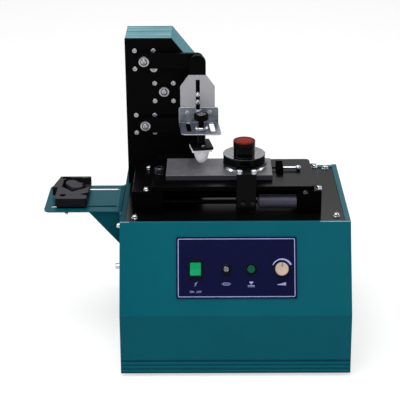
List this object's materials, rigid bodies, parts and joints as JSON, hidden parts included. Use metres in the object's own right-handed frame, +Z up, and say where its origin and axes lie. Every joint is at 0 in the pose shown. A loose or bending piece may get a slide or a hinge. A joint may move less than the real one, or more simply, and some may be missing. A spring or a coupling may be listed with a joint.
{
  "type": "pad printing machine",
  "caption": "Desktop pad printing machine: sheet metal cabinet with a sloping control panel, a swinging parallelogram arm with a silicone pad, a sliding ink cup and a side shelf with a jig.",
  "frame": {"origin": "bottom centre of the whole machine's box, on the bench under the feet", "axes": "+X to the operator's right, +Y from the control panel towards the back, +Z up"},
  "size_m": [0.578, 0.3838, 0.5743],
  "materials": {
    "teal_paint": "satin powder coat",
    "black_paint": "satin powder coat",
    "black_alloy": "black anodised",
    "zinc_steel": "bright zinc plate",
    "dark_steel": "ground",
    "rubber_feet": "matt",
    "printed_panel": "printed, satin",
    "black_plastic": "moulded",
    "green_plastic": "moulded",
    "ivory_plastic": "moulded",
    "clear_plastic": "polished",
    "silicone": "smooth",
    "circuit_board": "solder mask"
  },
  "bodies": {
    "machine_body": {"front_panel": "teal_paint", "base_tray": "teal_paint", "left_side": "teal_paint", "right_side": "teal_paint", "back_panel": "teal_paint", "deck_plate": "black_paint", "front_left_foot": "rubber_feet", "front_right_foot": "rubber_feet", "back_left_foot": "rubber_feet", "back_right_foot": "rubber_feet", "control_panel": "printed_panel", "rocker_bezel": "black_plastic", "power_inlet": "black_plastic", "power_supply": "zinc_steel", "control_board": "circuit_board", "column_plate": "black_paint", "upper_bearing": "black_alloy", "middle_bearing": "black_alloy", "lower_bearing": "black_alloy", "column_shroud": "teal_paint", "column_back_cover": "teal_paint", "motor_mount": "zinc_steel", "swing_motor": "dark_steel", "left_bed_block": "black_alloy", "right_bed_block": "black_alloy", "bed_platform": "black_alloy", "steel_plate": "dark_steel", "rear_plate_stop": "black_alloy", "clamp_block": "black_alloy", "cup_motor": "dark_steel", "guide_shaft": "dark_steel", "side_shelf": "teal_paint"},
    "upper_crank": {"upper_arm": "black_paint", "upper_arm_gear": "dark_steel"},
    "lower_crank": {"lower_arm": "black_paint", "lower_arm_gear": "dark_steel"},
    "drive_shaft": {"drive_gear": "dark_steel"},
    "head": {"head_bar": "black_paint"},
    "head_slide": {"slotted_plate": "zinc_steel", "pad_bracket": "zinc_steel"},
    "pad_unit": {"pad_stem": "dark_steel", "pad_holder": "black_alloy", "pad": "silicone"},
    "stem_knob": {"pad_knob": "black_plastic"},
    "cup_unit": {"cup_carriage": "black_alloy", "cup_bracket": "black_paint", "cup_fork": "zinc_steel", "ink_cup": "black_alloy", "cup_disc": "clear_plastic"},
    "cup_lid_knob": {"cup_knob": "black_plastic"},
    "cup_screw": {"lead_screw": "dark_steel"},
    "plate_screw": {"clamp_screw": "zinc_steel"},
    "plate_lock": {"plate_knob": "black_plastic"},
    "rocker": {"rocker_switch": "green_plastic"},
    "fuse": {"fuse_cap": "black_plastic"},
    "button": {"print_button": "green_plastic"},
    "speed": {"speed_knob": "ivory_plastic"},
    "jig": {"jig_base": "black_alloy"},
    "front_jaw": {"jig_front_jaw": "black_alloy"},
    "back_jaw": {"jig_back_jaw": "black_alloy"}
  },
  "joints": [
    {"name": "arm_swing", "type": "hinge", "parent": "machine_body", "child": "upper_crank", "pos_m": [-0.098, 0.08695, 0.5333], "axis": [0, -1, 0], "range_deg": [-3.5, 200]},
    {"name": "lower_arm_swing", "type": "hinge", "parent": "machine_body", "child": "lower_crank", "pos_m": [-0.098, 0.08695, 0.4033], "axis": [0, -1, 0], "range_deg": [-4, 200.5]},
    {"name": "drive_spin", "type": "hinge", "parent": "machine_body", "child": "drive_shaft", "pos_m": [-0.06058, 0.10525, 0.4683], "axis": [0, -1, 0], "range_deg": [-154, 3.5]},
    {"name": "head_level", "type": "hinge", "parent": "upper_crank", "child": "head", "pos_m": [0.0045, 0.06195, 0.5333], "axis": [0, -1, 0], "range_deg": [-200.5, 4]},
    {"name": "head_height", "type": "slide", "parent": "head", "child": "head_slide", "axis": [0, 0, 1], "range_m": [0, 0.01]},
    {"name": "pad_turn", "type": "hinge", "parent": "head_slide", "child": "pad_unit", "pos_m": [0.0115, 0.01595, 0.4173], "axis": [0, 0, 1], "range_deg": [-30, 30]},
    {"name": "pad_knob_turn", "type": "hinge", "parent": "pad_unit", "child": "stem_knob", "pos_m": [0.0115, 0.01595, 0.4386], "axis": [0, 0, 1], "continuous": true},
    {"name": "cup_slide", "type": "slide", "parent": "machine_body", "child": "cup_unit", "axis": [1, 0, 0], "range_m": [-0.1115, 0.0025]},
    {"name": "cup_knob_turn", "type": "hinge", "parent": "cup_unit", "child": "cup_lid_knob", "pos_m": [0.0933, 0.01595, 0.3696], "axis": [0, 0, 1], "continuous": true},
    {"name": "lead_screw_spin", "type": "hinge", "parent": "machine_body", "child": "cup_screw", "pos_m": [-0.061, -0.05105, 0.296], "axis": [1, 0, 0], "range_deg": [-40, 2010]},
    {"name": "clamp_screw_slide", "type": "slide", "parent": "machine_body", "child": "plate_screw", "axis": [1, 0, 0], "range_m": [0, 0.006]},
    {"name": "plate_knob_turn", "type": "hinge", "parent": "machine_body", "child": "plate_lock", "pos_m": [-0.0685, 0.00895, 0.3316], "axis": [0, 0, 1], "continuous": true},
    {"name": "rocker_tilt", "type": "hinge", "parent": "machine_body", "child": "rocker", "pos_m": [0, -0.14556, 0.19986], "axis": [1, 0, 0], "range_deg": [0, 16]},
    {"name": "fuse_cap_turn", "type": "hinge", "parent": "machine_body", "child": "fuse", "pos_m": [0.0569, -0.14325, 0.19868], "axis": [0, -0.8904, 0.4552], "range_deg": [0, 90]},
    {"name": "button_press", "type": "slide", "parent": "machine_body", "child": "button", "axis": [0, 0.8904, -0.4552], "range_m": [0, 0.003], "stiffness_N_per_m": 400},
    {"name": "speed_knob_turn", "type": "hinge", "parent": "machine_body", "child": "speed", "pos_m": [0.1594, -0.14325, 0.19868], "axis": [0, -0.8904, 0.4552], "range_deg": [-150, 150]},
    {"name": "jig_slide", "type": "slide", "parent": "machine_body", "child": "jig", "axis": [1, 0, 0], "range_m": [-0.02, 0.06]},
    {"name": "front_jaw_slide", "type": "slide", "parent": "jig", "child": "front_jaw", "axis": [0, 1, 0], "range_m": [-0.01, 0]},
    {"name": "back_jaw_slide", "type": "slide", "parent": "jig", "child": "back_jaw", "axis": [0, 1, 0], "range_m": [0, 0.01]}
  ],
  "couplings": [
    {"joint": "lower_arm_swing", "follows": "arm_swing", "ratio": 1},
    {"joint": "drive_spin", "follows": "arm_swing", "ratio": -0.76471},
    {"joint": "head_level", "follows": "arm_swing", "ratio": -1},
    {"joint": "cup_slide", "follows": "arm_swing", "m_per_rad": -0.0318},
    {"joint": "lead_screw_spin", "follows": "arm_swing", "ratio": 9.9903}
  ]
}
